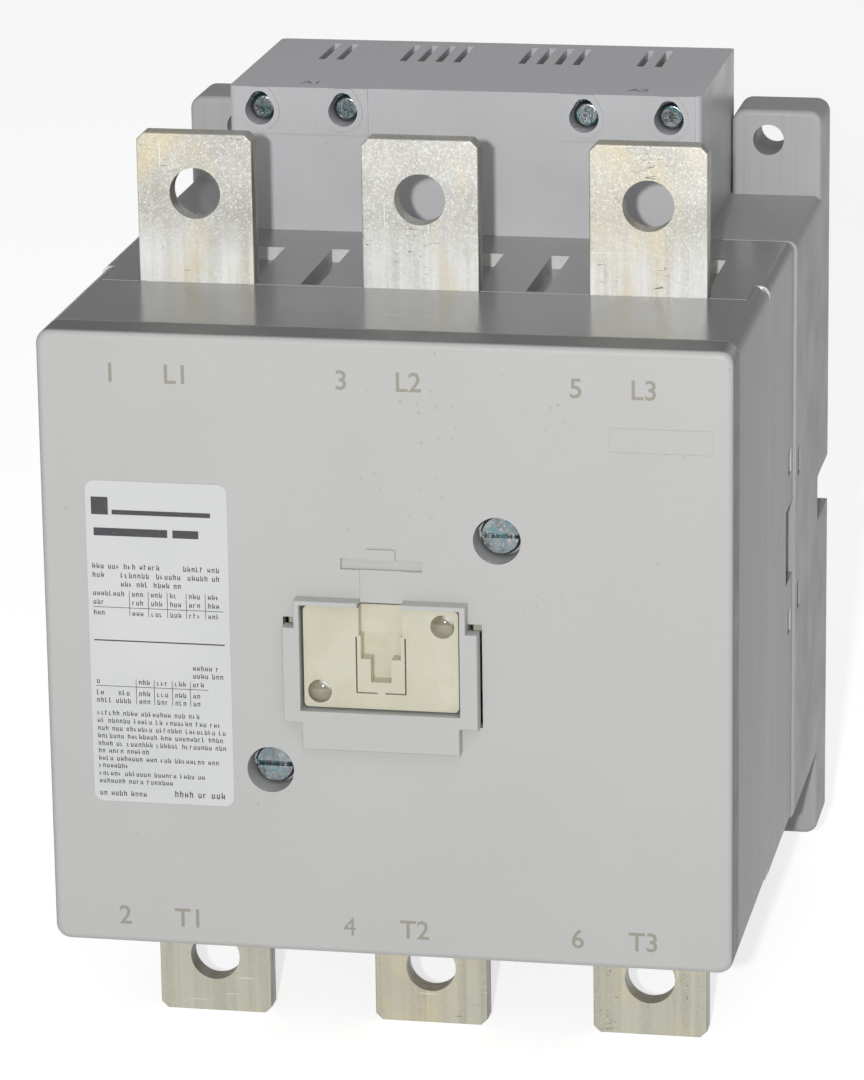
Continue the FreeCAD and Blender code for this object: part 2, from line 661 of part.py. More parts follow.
def terminal_bar(x, side):
    tip = side * (HALF_H + BAR_REACH)
    bar = block(x - BAR_W / 2, x + BAR_W / 2, BAR_FRONT, BAR_BACK, side * BAR_INNER, tip)
    corners = straight_edges(bar, FreeCAD.Vector(0, 1, 0), lambda p: abs(p.z - tip) < NEAR)
    bar = bar.makeChamfer(BAR_CHAMFER, corners)
    for depth in (BAR_FRONT, BAR_BACK):
        bar = bar.makeFillet(BAR_EDGE_R, edges_in_plane(bar, depth))
    hole = rod(x, tip - side * BAR_HOLE_FROM_TIP, BAR_HOLE_R, BAR_FRONT, BAR_BACK)
    screw_hole = rod(x, side * BAR_SCREW_Z, SCREW_R + SCREW_GAP, BAR_FRONT, BAR_BACK)
    return cut_all(bar, [hole, screw_hole])


def fixed_tips():
    return [centred(x, TIP_W, FIXED_TIP_FACE, BAR_FRONT, side * TIP_Z, TIP_L)
            for x, side in bar_places()]


def slotted_screw(x, z, head_r, head_h, radius, head_front, end):
    head = rod(x, z, head_r, head_front, head_front + head_h)
    head = head.makeChamfer(SCREW_HEAD_CHAMFER, edges_in_plane(head, head_front))
    screw = fuse_all([head, rod(x, z, radius, head_front + head_h, end)])
    slot = centred(x, 2 * head_r, head_front, head_front + SCREW_SLOT_D, z, SCREW_SLOT)
    return screw.cut(slot)


def cover_screws():
    return [slotted_screw(x, z, SCREW_HEAD_R, SCREW_HEAD_H, SCREW_R,
                          COVER_SCREW_SUNK, COVER_SCREW_END) for x, z in cover_screw_places()]


def bar_screws():
    return [slotted_screw(x, side * BAR_SCREW_Z, SCREW_HEAD_R, SCREW_HEAD_H,
                          SCREW_R, BAR_FRONT - SCREW_HEAD_H, SIDE_JOINT)
            for x, side in bar_places()]


def joint_screws():
    return [slotted_screw(x, z, JOINT_SCREW_HEAD_R, JOINT_SCREW_HEAD_H, JOINT_SCREW_R, BAR_FRONT,
                          JOINT_SCREW_END) for x, z in joint_screw_places()]


def arc_plates(x):
    """The steel plates of one pole, above and below its contacts."""
    plates = []
    for side in (1, -1):
        for row in range(PLATE_COUNT):
            start = PLATE_START + row * PLATE_PITCH
            plate = block(x - PLATE_W / 2, x + PLATE_W / 2, start, start + PLATE_T,
                          side * PLATE_IN, side * (PLATE_IN + PLATE_L))
            notch = Part.makePolygon([
                FreeCAD.Vector(x - PLATE_NOTCH_W / 2, start - DEPTH, side * PLATE_IN),
                FreeCAD.Vector(x + PLATE_NOTCH_W / 2, start - DEPTH, side * PLATE_IN),
                FreeCAD.Vector(x, start - DEPTH, side * (PLATE_IN + PLATE_NOTCH_L)),
                FreeCAD.Vector(x - PLATE_NOTCH_W / 2, start - DEPTH, side * PLATE_IN)])
            plates.append(plate.cut(Part.Face(notch).extrude(FreeCAD.Vector(0, PLATE_T, 0))))
    return plates


def arc_cheeks():
    """The insulating side walls that carry the plates of each stack."""
    cheeks = []
    for x, side in bar_places():
        for hand in (-1, 1):
            x0 = x + hand * PLATE_W / 2
            cheeks.append(block(x0, x0 + hand * CHEEK_T, CHEEK_START, CHEEK_END,
                                side * (PLATE_IN + SEAT_GAP), side * (HALF_H - WALL)))
    return cheeks


def drive_recess():
    """The cuts in the carrier's front end: guide channel, drive recess and the slits round it."""
    face = NOSE_DEPTH
    top = FACE_Z + WINDOW_H / 2
    recess_top = FACE_Z + DRIVE_TOP
    recess_bottom = FACE_Z + DRIVE_BOTTOM
    cuts = [block(FACE_X - GUIDE_W / 2, FACE_X + GUIDE_W / 2, face, face + CHANNEL_D, recess_top, top)]
    head_z = recess_top - DRIVE_HEAD_H / 2
    neck_z = recess_top - DRIVE_HEAD_H - DRIVE_NECK_H / 2
    cuts.append(centred(FACE_X, DRIVE_HEAD_W, face, face + DRIVE_D, head_z, DRIVE_HEAD_H))
    cuts.append(centred(FACE_X, DRIVE_NECK_W, face, face + DRIVE_D, neck_z, DRIVE_NECK_H))
    for side in (-1, 1):
        outer = FACE_X + side * DRIVE_W / 2
        inner = FACE_X + side * DRIVE_BRIDGE_W / 2
        cuts.append(block(outer - side * DRIVE_SLIT, outer, face, face + DRIVE_SLIT_D,
                          recess_bottom, recess_top - DRIVE_SLIT))
        cuts.append(block(inner, outer, face, face + DRIVE_SLIT_D, recess_bottom,
                          recess_bottom + DRIVE_SLIT))
    return cuts


def dome_places():
    return [(FACE_X + DOME_X, FACE_Z + DOME_Z), (FACE_X - DOME_X, FACE_Z - DOME_Z)]


def contact_carrier():
    nose = rounded(FACE_X, WINDOW_W - 2 * NOSE_GAP, NOSE_DEPTH, BEAM_FRONT + OVERLAP, FACE_Z,
                   WINDOW_H - 2 * NOSE_GAP, NOSE_CORNER_R)
    nose = cut_all(nose, drive_recess())
    beam = centred(0, 2 * BEAM_HALF_W, BEAM_FRONT, BEAM_BACK, 0, BEAM_H)
    added = [beam, nose]
    holes = []
    for x in POLES_X:
        holes.append(centred(x, BRIDGE_W + 2 * RUN_GAP, BEAM_WINDOW_FRONT, BRIDGE_BACK + STOP_GAP, 0,
                             BEAM_H))
    for x in (-ARM_X, ARM_X):
        added.append(centred(x, ARM_W, BEAM_BACK - OVERLAP, ARM_END, 0, BEAM_H))
        holes.append(rod(x, 0, SCREW_R + SCREW_GAP, BAR_BACK, ARM_END))
    for x, z in dome_places():
        holes.append(rod(x, z, DOME_R + PIN_GAP, NOSE_DEPTH, NOSE_DEPTH + DOME_SINK))
    return cut_all(fuse_all(added), holes)


def dome_pins():
    """The two round heads in the carrier's front end: a short shank under a low dome."""
    pins = []
    for x, z in dome_places():
        shank = rod(x, z, DOME_R, NOSE_DEPTH, NOSE_DEPTH + DOME_SINK)
        sphere_r = (DOME_R ** 2 + DOME_RISE ** 2) / (2 * DOME_RISE)
        centre = FreeCAD.Vector(x, NOSE_DEPTH - DOME_RISE + sphere_r - DEPTH, z)
        ahead = rod(x, z, 2 * DOME_R, NOSE_DEPTH - 2 * DOME_RISE, NOSE_DEPTH)
        cap = Part.makeSphere(sphere_r, centre).common(ahead)
        pins.append(fuse_all([shank, cap]))
    return pins


def contact_bridge(x):
    bridge = centred(x, BRIDGE_W, BRIDGE_FRONT, BRIDGE_BACK, 0, 2 * BRIDGE_HALF_L)
    ends = straight_edges(bridge, FreeCAD.Vector(1, 0, 0), lambda p: p.y < BRIDGE_BACK - DEPTH - NEAR)
    return bridge.makeChamfer(BRIDGE_CHAMFER, ends)


def moving_tips(x):
    return [centred(x, TIP_W, BRIDGE_BACK, MOVING_TIP_FACE, side * TIP_Z, TIP_L) for side in (1, -1)]


def contact_spring(x):
    return coil_spring(x, 0, CONTACT_SPRING_R, CONTACT_SPRING_WIRE / 2, CONTACT_SPRING_TURNS,
                       BEAM_WINDOW_FRONT + STOP_GAP, BRIDGE_FRONT - STOP_GAP)


def return_springs():
    return [coil_spring(0, z, RETURN_SPRING_R, RETURN_SPRING_WIRE / 2, RETURN_SPRING_TURNS,
                        FOOT_BACK + STOP_GAP, BOBBIN_FRONT - STOP_GAP)
            for z in (-RETURN_SPRING_Z, RETURN_SPRING_Z)]


def pin_axis_depth():
    return ARMATURE_FRONT + ARMATURE_YOKE / 2


def pin_length():
    return STACK_H + 2 * (RUN_GAP + CHEEK_PLATE_T)


def pin_bore():
    start = FreeCAD.Vector(0, pin_axis_depth() - DEPTH, -pin_length() / 2)
    return Part.makeCylinder(ARMATURE_PIN_R + PIN_GAP, pin_length(), start)


def armature_holder():
    """The rear foot of the carrier: it holds the armature on its pin and takes the springs."""
    added = [centred(0, FOOT_W, ARM_END, FOOT_BACK, 0, BEAM_H),
             centred(0, FOOT_RIB_W, ARM_END, FOOT_BACK, 0, FOOT_H)]
    for side in (-1, 1):
        z0 = side * (STACK_H / 2 + RUN_GAP)
        added.append(block(-CHEEK_PLATE_W / 2, CHEEK_PLATE_W / 2, FOOT_BACK - OVERLAP,
                           FOOT_BACK + CHEEK_PLATE_L, z0, z0 + side * CHEEK_PLATE_T))
    holes = [pin_bore()]
    for x in (-ARM_X, ARM_X):
        holes.append(rod(x, 0, SCREW_R + SCREW_GAP, ARM_END, FOOT_BACK))
        holes.append(rod(x, 0, SCREW_HEAD_R + SCREW_GAP, FOOT_BACK - SCREW_HEAD_H,
                         FOOT_BACK))
    return cut_all(fuse_all(added), holes)


def armature_pin():
    start = FreeCAD.Vector(0, pin_axis_depth() - DEPTH, -pin_length() / 2)
    return Part.makeCylinder(ARMATURE_PIN_R, pin_length(), start)


def carrier_screws():
    """The two screws that join the foot to the carrier's arms, heads at the back."""
    screws = []
    for x in (-ARM_X, ARM_X):
        head = rod(x, 0, SCREW_HEAD_R, FOOT_BACK - SCREW_HEAD_H, FOOT_BACK)
        slot = centred(x, 2 * SCREW_HEAD_R, FOOT_BACK - SCREW_SLOT_D, FOOT_BACK, 0,
                       SCREW_SLOT)
        shank = rod(x, 0, SCREW_R, BAR_BACK + HOLE_SPARE, FOOT_BACK - SCREW_HEAD_H)
        screws.append(fuse_all([head, shank]).cut(slot))
    return screws


def armature_cushion():
    return centred(0, FOOT_W, FOOT_BACK, FOOT_BACK + CUSHION_T, 0, CUSHION_H).cut(
        centred(0, 2 * ARM_X + 2 * SCREW_HEAD_R, FOOT_BACK, FOOT_BACK + CUSHION_T, 0,
                CUSHION_H / 2))


def e_stack(yoke_d0, yoke_d1, face_d):
    """A laminated E: a yoke and three legs that end in one plane."""
    low, high = min(yoke_d0, face_d), max(yoke_d1, face_d)
    added = [centred(0, CORE_W, yoke_d0, yoke_d1, 0, STACK_H),
             centred(0, CORE_MID_LEG, low, high, 0, STACK_H)]
    for side in (-1, 1):
        x = side * (CORE_W - CORE_LEG) / 2
        added.append(centred(x, CORE_LEG, low, high, 0, STACK_H))
    return fuse_all(added)


def magnet_core():
    core = e_stack(CORE_BACK - CORE_YOKE, CORE_BACK, CORE_FACE)
    depth = RING_SUNK + RING_T + SEAT_GAP
    grooves = []
    for side in (-1, 1):
        x0 = side * (RING_X - SEAT_GAP)
        x1 = side * (RING_X + RING_T + SEAT_GAP)
        grooves.append(block(x0, x1, CORE_FACE, CORE_FACE + depth, -STACK_H / 2, STACK_H / 2))
    return cut_all(core, grooves)


def shading_rings():
    rings = []
    d0 = CORE_FACE + RING_SUNK
    for side in (-1, 1):
        outer_x = CORE_W / 2 + RING_OUT
        outer_z = STACK_H / 2 + RING_OUT
        ring = block(side * RING_X, side * outer_x, d0, d0 + RING_T, -outer_z, outer_z)
        inside = block(side * (RING_X + RING_T), side * (outer_x - RING_T), d0, d0 + RING_T,
                       -outer_z + RING_T, outer_z - RING_T)
        rings.append(ring.cut(inside))
    return rings


def core_buffers():
    return [centred(x, BUFFER_SIZE, CORE_BACK, BACK_INNER, 0, STACK_H)
            for x in (-CORE_W / 2 + BUFFER_SIZE, CORE_W / 2 - BUFFER_SIZE)]


def armature():
    body = e_stack(ARMATURE_FRONT, ARMATURE_FRONT + ARMATURE_YOKE, ARMATURE_FACE)
    return body.cut(pin_bore())


def bobbin_hole():
    width = CORE_MID_LEG + 2 * RUN_GAP
    return centred(0, width, BOBBIN_FRONT, BOBBIN_BACK, 0, STACK_H + 2 * RUN_GAP)


def coil_bobbin():
    tube_w = CORE_MID_LEG + 2 * RUN_GAP + 2 * BOBBIN_TUBE_T
    tube_h = STACK_H + 2 * RUN_GAP + 2 * BOBBIN_TUBE_T
    added = [centred(0, tube_w, BOBBIN_FRONT, BOBBIN_BACK, 0, tube_h)]
    for start in (BOBBIN_FRONT, BOBBIN_BACK - BOBBIN_FLANGE_T):
        added.append(rounded(0, BOBBIN_W, start, start + BOBBIN_FLANGE_T, 0, BOBBIN_H, BASE_CORNER_R))
    return fuse_all(added).cut(bobbin_hole())


def coil_winding():
    tube_w = CORE_MID_LEG + 2 * RUN_GAP + 2 * BOBBIN_TUBE_T
    tube_h = STACK_H + 2 * RUN_GAP + 2 * BOBBIN_TUBE_T
    d0 = BOBBIN_FRONT + BOBBIN_FLANGE_T
    d1 = BOBBIN_BACK - BOBBIN_FLANGE_T
    outer = rounded(0, BOBBIN_W - 2 * WINDING_INSET, d0, d1, 0, BOBBIN_H - 2 * WINDING_INSET, WALL)
    return outer.cut(centred(0, tube_w, d0, d1, 0, tube_h))


def coil_terminal_housing():
    height = COIL_TOP - HALF_H
    mid_z = HALF_H + height / 2
    body = centred(0, COIL_W, COIL_FRONT, COIL_BACK, mid_z, height)
    upright = straight_edges(body, FreeCAD.Vector(0, 0, 1))
    body = body.makeFillet(COIL_EDGE_R, upright)
    body = body.cut(block(-COIL_W / 2 + COIL_WALL, COIL_W / 2 - COIL_WALL, COIL_FRONT + COIL_WALL,
                          COIL_BACK - COIL_WALL, HALF_H, COIL_TOP - COIL_WALL))
    added = [body]
    holes = []
    for side in (-1, 1):
        added.append(block(side * COIL_PANEL_IN, side * (COIL_W / 2 - COIL_EDGE_R),
                           COIL_FRONT - COIL_PANEL_RISE, COIL_FRONT + COIL_WALL / 2,
                           COIL_TOP - COIL_PANEL_H, COIL_TOP))
        tongue_x = side * (LEAD_HOLE_W / 2 - TONGUE_T / 2 - RUN_GAP)
        added.append(centred(tongue_x, TONGUE_T, LEAD_HOLE_START + RUN_GAP,
                             LEAD_HOLE_START + TONGUE_W, HALF_H, 2 * TONGUE_D))
        roof_x0 = side * (LEAD_HOLE_W / 2 - RUN_GAP - TONGUE_T)
        added.append(block(roof_x0, side * (COIL_W / 2 - COIL_WALL / 2),
                           LEAD_HOLE_START + RUN_GAP, LEAD_HOLE_START + TONGUE_W,
                           HALF_H, HALF_H + TONGUE_T))
        for x in VENTS_X:
            holes.append(centred(side * x, VENT_W, VENT_START, VENT_END, COIL_TOP,
                                 2 * (COIL_WALL + OVERLAP)))
    for x in COIL_SCREWS_X:
        collar = egg(x, COIL_SCREW_Z, COLLAR_R, COLLAR_TOP_R, COLLAR_LIFT,
                     COIL_FRONT - COLLAR_RISE, CLAMP_FRONT)
        below_top = block(x - COIL_W, x + COIL_W, COIL_FRONT - COLLAR_RISE, CLAMP_FRONT, HALF_H,
                          COIL_TOP)
        added.append(collar.common(below_top))
        added.append(block(x - CLAMP_SIZE / 2, x + CLAMP_SIZE / 2, CLAMP_BACK,
                           CLAMP_BACK + CLAMP_POST_L, COIL_SCREW_Z - CLAMP_SIZE / 2,
                           COIL_TOP - COIL_WALL / 2))
        holes.append(egg(x, COIL_SCREW_Z, COIL_HOLE_R, COIL_HOLE_TOP_R, COIL_HOLE_LIFT,
                         COIL_FRONT - COLLAR_RISE, CLAMP_FRONT))
        holes.append(centred(x, CLAMP_SIZE + 2 * SEAT_GAP, CLAMP_FRONT, CLAMP_BACK, COIL_SCREW_Z,
                             CLAMP_SIZE + 2 * SEAT_GAP))
        holes.append(rod(x, COIL_SCREW_Z, COIL_SCREW_R + SCREW_GAP, CLAMP_BACK,
                         CLAMP_BACK + CLAMP_POST_L))
    return cut_all(fuse_all(added), holes)


def coil_terminal_screws():
    """Cross-recess pan-head screws in the four coil terminals."""
    screws = []
    for x in COIL_SCREWS_X:
        head_front = COIL_FRONT + COIL_SCREW_SUNK
        head = rod(x, COIL_SCREW_Z, COIL_SCREW_HEAD_R, head_front, CLAMP_FRONT)
        head = head.makeFillet(COIL_SCREW_EDGE_R, edges_in_plane(head, head_front))
        shank = rod(x, COIL_SCREW_Z, COIL_SCREW_R, CLAMP_FRONT, CLAMP_FRONT + COIL_SCREW_L)
        cross = [centred(x, CROSS_L, head_front, head_front + CROSS_D, COIL_SCREW_Z, CROSS_W),
                 centred(x, CROSS_W, head_front, head_front + CROSS_D, COIL_SCREW_Z, CROSS_L)]
        screws.append(cut_all(fuse_all([head, shank]), cross))
    return screws


def coil_terminal_clamps():
    return [centred(x, CLAMP_SIZE, CLAMP_FRONT, CLAMP_BACK, COIL_SCREW_Z, CLAMP_SIZE).cut(
        rod(x, COIL_SCREW_Z, COIL_SCREW_R + SCREW_GAP, CLAMP_FRONT, CLAMP_BACK))
        for x in COIL_SCREWS_X]


save("front_cover", front_cover())
save("rating_label", rating_label())
save("arc_chamber", arc_chamber())
save("contact_base", contact_base())
save("base_housing", base_housing())
save("coil_terminal_housing", coil_terminal_housing())
save("coil_terminal_screws", Part.makeCompound(coil_terminal_screws()))
save("coil_terminal_clamps", Part.makeCompound(coil_terminal_clamps()))
save("cover_screws", Part.makeCompound(cover_screws()))
save("bar_screws", Part.makeCompound(bar_screws()))
save("housing_screws", Part.makeCompound(joint_screws()))
save("fixed_contact_tips", Part.makeCompound(fixed_tips()))
save("arc_chute_cheeks", Part.makeCompound(arc_cheeks()))
save("magnet_core", magnet_core())
save("shading_rings", Part.makeCompound(shading_rings()))
save("core_buffers", Part.makeCompound(core_buffers()))
save("coil_bobbin", coil_bobbin())
save("coil_winding", coil_winding())
save("contact_carrier", contact_carrier())
save("carrier_pins", Part.makeCompound(dome_pins()))
save("armature_holder", armature_holder())
save("carrier_screws", Part.makeCompound(carrier_screws()))
save("armature", armature())
save("armature_pin", armature_pin())
save("armature_cushion", armature_cushion())
save("return_springs", Part.makeCompound(return_springs()))
for name, pole_x in zip(POLE_NAMES, POLES_X):
    save("line_bar_l" + name, terminal_bar(pole_x, 1))
    save("load_bar_t" + name, terminal_bar(pole_x, -1))
    save("arc_plates_" + name, Part.makeCompound(arc_plates(pole_x)))
    save("contact_bridge_" + name, contact_bridge(pole_x))
    save("moving_tips_" + name, Part.makeCompound(moving_tips(pole_x)))
    save("contact_spring_" + name, contact_spring(pole_x))
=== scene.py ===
import json
import math
import random

import bmesh
import bpy
from mathutils import Matrix, Vector


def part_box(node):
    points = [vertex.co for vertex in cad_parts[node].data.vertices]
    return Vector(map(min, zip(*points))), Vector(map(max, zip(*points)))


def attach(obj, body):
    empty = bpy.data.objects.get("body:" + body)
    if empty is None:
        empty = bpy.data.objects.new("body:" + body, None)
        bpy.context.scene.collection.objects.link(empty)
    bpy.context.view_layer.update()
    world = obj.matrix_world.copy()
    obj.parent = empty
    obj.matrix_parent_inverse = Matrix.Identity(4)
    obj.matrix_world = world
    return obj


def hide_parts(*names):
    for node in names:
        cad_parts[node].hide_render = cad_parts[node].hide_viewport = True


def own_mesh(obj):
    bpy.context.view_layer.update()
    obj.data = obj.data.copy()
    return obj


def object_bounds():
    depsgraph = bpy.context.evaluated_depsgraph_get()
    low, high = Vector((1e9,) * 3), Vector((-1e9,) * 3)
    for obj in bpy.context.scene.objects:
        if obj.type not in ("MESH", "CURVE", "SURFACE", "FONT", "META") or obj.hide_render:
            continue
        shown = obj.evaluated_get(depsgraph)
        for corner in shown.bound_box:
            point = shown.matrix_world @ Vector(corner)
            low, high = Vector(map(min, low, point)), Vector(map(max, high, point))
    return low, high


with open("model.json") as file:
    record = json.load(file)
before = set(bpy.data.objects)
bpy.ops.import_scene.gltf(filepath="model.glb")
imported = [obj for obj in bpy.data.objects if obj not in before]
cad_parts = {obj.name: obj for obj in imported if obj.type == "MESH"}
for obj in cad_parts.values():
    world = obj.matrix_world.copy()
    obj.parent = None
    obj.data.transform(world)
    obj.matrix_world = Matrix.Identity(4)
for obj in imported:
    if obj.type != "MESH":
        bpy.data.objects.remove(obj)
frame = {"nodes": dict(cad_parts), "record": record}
cad_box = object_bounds()
nodes = frame["nodes"]
MM = 0.001
POLES = "123"


# Materials


class Nodes:
    """A short way to write a node tree."""

    def __init__(self, name):
        self.material = bpy.data.materials.new(name)
        self.material.use_nodes = True
        self.tree = self.material.node_tree
        self.tree.nodes.clear()
        self.shader = self.add("ShaderNodeBsdfPrincipled")
        out = self.add("ShaderNodeOutputMaterial")
        self.link(self.shader.outputs["BSDF"], out.inputs["Surface"])
        coordinates = self.add("ShaderNodeTexCoord")
        self.place = coordinates.outputs["Object"]
        self.facing = self.add("ShaderNodeSeparateXYZ")
        self.link(coordinates.outputs["Normal"], self.facing.inputs[0])
        self.at = self.add("ShaderNodeSeparateXYZ")
        self.link(self.place, self.at.inputs[0])

    def add(self, kind, **values):
        node = self.tree.nodes.new(kind)
        for key, value in values.items():
            setattr(node, key, value)
        return node

    def link(self, a, b):
        self.tree.links.new(a, b)

    def scaled(self, scale, turn=(0, 0, 0)):
        """The object's own coordinates, stretched along its axes."""
        mapping = self.add("ShaderNodeMapping")
        mapping.inputs["Scale"].default_value = scale
        mapping.inputs["Rotation"].default_value = turn
        self.link(self.place, mapping.inputs["Vector"])
        return mapping.outputs["Vector"]

    def noise(self, scale, detail=3.0, rough=0.5, vector=None, distortion=0.0):
        node = self.add("ShaderNodeTexNoise")
        node.inputs["Scale"].default_value = scale
        node.inputs["Detail"].default_value = detail
        node.inputs["Roughness"].default_value = rough
        node.inputs["Distortion"].default_value = distortion
        self.link(vector or self.place, node.inputs["Vector"])
        return node.outputs["Fac"]

    def cells(self, scale):
        node = self.add("ShaderNodeTexVoronoi")
        node.inputs["Scale"].default_value = scale
        self.link(self.place, node.inputs["Vector"])
        return node.outputs["Distance"]

    def spread(self, value, low, high, to_low=0.0, to_high=1.0):
        """Maps a range of a value to another range, and holds it at both ends."""
        node = self.add("ShaderNodeMapRange")
        node.inputs["From Min"].default_value = low
        node.inputs["From Max"].default_value = high
        node.inputs["To Min"].default_value = to_low
        node.inputs["To Max"].default_value = to_high
        self.link(value, node.inputs["Value"])
        return node.outputs["Result"]

    def math(self, operation, a, b):
        node = self.add("ShaderNodeMath", operation=operation)
        for i, value in enumerate((a, b)):
            if isinstance(value, (int, float)):
                node.inputs[i].default_value = value
            else:
                self.link(value, node.inputs[i])
        return node.outputs[0]

    def mix(self, factor, a, b, blend="MIX"):
        node = self.add("ShaderNodeMix", data_type="RGBA", blend_type=blend)
        colours = [s for s in node.inputs if s.type == "RGBA"]
        self.link(factor, node.inputs[0])
        for socket, value in zip(colours, (a, b)):
            if isinstance(value, tuple):
                socket.default_value = value + (1.0,)
            else:
                self.link(value, socket)
        return [s for s in node.outputs if s.type == "RGBA"][0]

    def bump(self, height, strength, distance):
        node = self.add("ShaderNodeBump")
        node.inputs["Strength"].default_value = strength
        node.inputs["Distance"].default_value = distance
        self.link(height, node.inputs["Height"])
        previous = self.shader.inputs["Normal"]
        if previous.links:
            self.link(previous.links[0].from_socket, node.inputs["Normal"])
        self.link(node.outputs["Normal"], previous)

    def set(self, **values):
        for key, value in values.items():
            socket = self.shader.inputs[key.replace("_", " ").title()]
            if isinstance(value, (int, float)):
                socket.default_value = value
            elif isinstance(value, tuple):
                socket.default_value = value + (1.0,)
            else:
                self.link(value, socket)


# Painted shade: the cover's sides and top are painted darker than its face, outside these places
RIM_X = 70.0 * MM
RIM_Z = 64.0 * MM
RIM_SOFT = 1.2 * MM
GLOSS_SPREAD = 0.06


def moulded(name, colour, rough, grain, cloud, specks, streaks=0.0, painted_rim_shade=0.0, painted_top_light=0.0):
    """Moulded plastic: cloudy tone, a fine grain, dark specks, and where asked flow streaks along Z,
    a rim painted darker (painted shade) or a top painted lighter (painted light)."""
    m = Nodes(name)
    dark = tuple(c * (1 - cloud) for c in colour)
    light = tuple(min(1.0, c * (1 + cloud)) for c in colour)
    tone = m.mix(m.spread(m.noise(26, 4, 0.6), 0.3, 0.7), dark, light)
    fine = m.noise(1500, 2, 0.5)
    tone = m.mix(m.spread(fine, 0.35, 0.65, 0.0, 0.12), tone, tuple(c * 0.86 for c in colour))
    if streaks:
        wide = m.noise(1, 4, 0.65, m.scaled((300, 300, 7)), 0.3)
        thin = m.noise(1, 3, 0.6, m.scaled((1100, 1100, 22)))
        shade = m.math("ADD", m.spread(wide, 0.32, 0.68, 0, 0.65), m.spread(thin, 0.35, 0.65, 0, 0.35))
        darker = m.mix(m.spread(wide, 0.5, 0.2), tone, tuple(c * (1 - streaks) for c in colour))
        tone = m.mix(shade, darker, tuple(min(1.0, c * (1 + streaks)) for c in colour))
        m.bump(thin, 0.25, 0.0003)
    # Painted shade: faces turned to the sides or up, outside RIM_X and RIM_Z, are painted darker and
    # reflect less
    if painted_rim_shade:
        turned = m.math("MAXIMUM", m.math("ABSOLUTE", m.facing.outputs["X"], 0.0), m.facing.outputs["Z"])
        beside = m.spread(m.math("ABSOLUTE", m.at.outputs["X"], 0.0), RIM_X, RIM_X + RIM_SOFT)
        above = m.spread(m.at.outputs["Z"], RIM_Z, RIM_Z + RIM_SOFT)
        outside = m.math("MAXIMUM", beside, above)
        rim = m.math("MULTIPLY", m.spread(turned, 0.75, 0.97, 0.0, painted_rim_shade), outside)
        tone = m.mix(rim, tone, tuple(c * 0.3 for c in colour))
    # Painted light: faces turned up are painted lighter, a painted reflection of the bright surroundings
    if painted_top_light:
        upward = m.spread(m.facing.outputs["Z"], 0.8, 0.97)
        tone = m.mix(upward, tone, tuple(c * (1 + painted_top_light) for c in colour))
    patch = m.spread(m.noise(60, 2), 0.55, 0.7)
    spot = m.math("MULTIPLY", m.spread(m.cells(420), 0.16, 0.08), patch)
    tone = m.mix(m.math("MULTIPLY", spot, specks), tone, tuple(c * 0.35 for c in colour))
    gloss = m.spread(m.noise(90, 3), 0.3, 0.7, rough - GLOSS_SPREAD, rough + GLOSS_SPREAD)
    if painted_rim_shade:
        m.link(m.spread(rim, 0.0, 1.0, 0.5, 0.05), m.shader.inputs["Specular IOR Level"])
    m.set(base_color=tone, roughness=gloss)
    m.bump(fine, grain, 0.00012)
    return m.material


# Painted shade: the body is painted darker towards its front, between these two depths
SHADE_FROM = -90 * MM
SHADE_TO = -150 * MM


def satin_body(name):
    """The dark grey body moulding: smooth satin above, streaky at the sides, with painted light and shade:
    the sides painted lighter than the top, the part towards the front painted darker and faces turned to
    the front painted pale.
    """
    colour = (0.28, 0.283, 0.275)
    m = Nodes(name)
    side = m.spread(m.math("ABSOLUTE", m.facing.outputs["X"], 0.0), 0.5, 0.9)
    tone = m.mix(m.spread(m.noise(18, 4, 0.6), 0.3, 0.7), tuple(c * 0.94 for c in colour),
                 tuple(c * 1.07 for c in colour))
    wide = m.noise(1, 5, 0.62, m.scaled((330, 330, 13)), 0.7)
    thin = m.noise(1, 3, 0.6, m.scaled((1500, 1500, 45)))
    streak = m.math("ADD", m.spread(wide, 0.3, 0.7, 0, 0.6), m.spread(thin, 0.32, 0.68, 0, 0.4))
    # Painted light: the sides are painted lighter than the top, with real flow streaks on them
    side_streaks_and_light = m.mix(m.spread(streak, 0.15, 0.85), tuple(c * 1.2 for c in colour),
                  tuple(c * 1.55 for c in colour))
    blotch = m.noise(38, 4, 0.65, None, 0.6)
    side_streaks_and_light = m.mix(m.spread(blotch, 0.4, 0.7, 0.0, 0.35), side_streaks_and_light, tuple(c * 1.75 for c in colour))
    tone = m.mix(side, tone, side_streaks_and_light)
    # Painted shade towards the front
    ahead = m.spread(m.at.outputs["Y"], SHADE_FROM, SHADE_TO, 0.0, 0.5)
    tone = m.mix(ahead, tone, tuple(c * 0.7 for c in colour))
    # Painted light: faces turned to the front are painted pale, as lit from the front
    front = m.spread(m.facing.outputs["Y"], -0.8, -0.95)
    tone = m.mix(front, tone, (0.72, 0.72, 0.71))
    scuff = m.noise(1, 4, 0.7, m.scaled((40, 190, 900), (0.5, 0.2, 0.3)))
    tone = m.mix(m.spread(scuff, 0.66, 0.72, 0, 0.35), tone, tuple(c * 1.5 for c in colour))
    fine = m.noise(1300, 2, 0.5)
    tone = m.mix(m.spread(fine, 0.4, 0.7, 0.0, 0.14), tone, tuple(c * 0.75 for c in colour))
    satin = m.spread(m.noise(45, 4, 0.6), 0.3, 0.7, 0.15, 0.25)
    rough = m.add("ShaderNodeMix", data_type="FLOAT")
    m.link(side, rough.inputs[0])
    m.link(satin, rough.inputs[2])
    rough.inputs[3].default_value = 0.48
    m.shader.inputs["Specular IOR Level"].default_value = 1.0
    m.set(base_color=tone, roughness=rough.outputs[0])
    m.bump(m.noise(400, 3, 0.6), 0.1, 0.00012)
    m.bump(m.math("MULTIPLY", thin, side), 0.3, 0.0002)
    return m.material


# Painted light: near the housing the upper bars are painted bright, between these two heights
LIGHT_BAND_FROM = 72 * MM
LIGHT_BAND_TO = 82 * MM


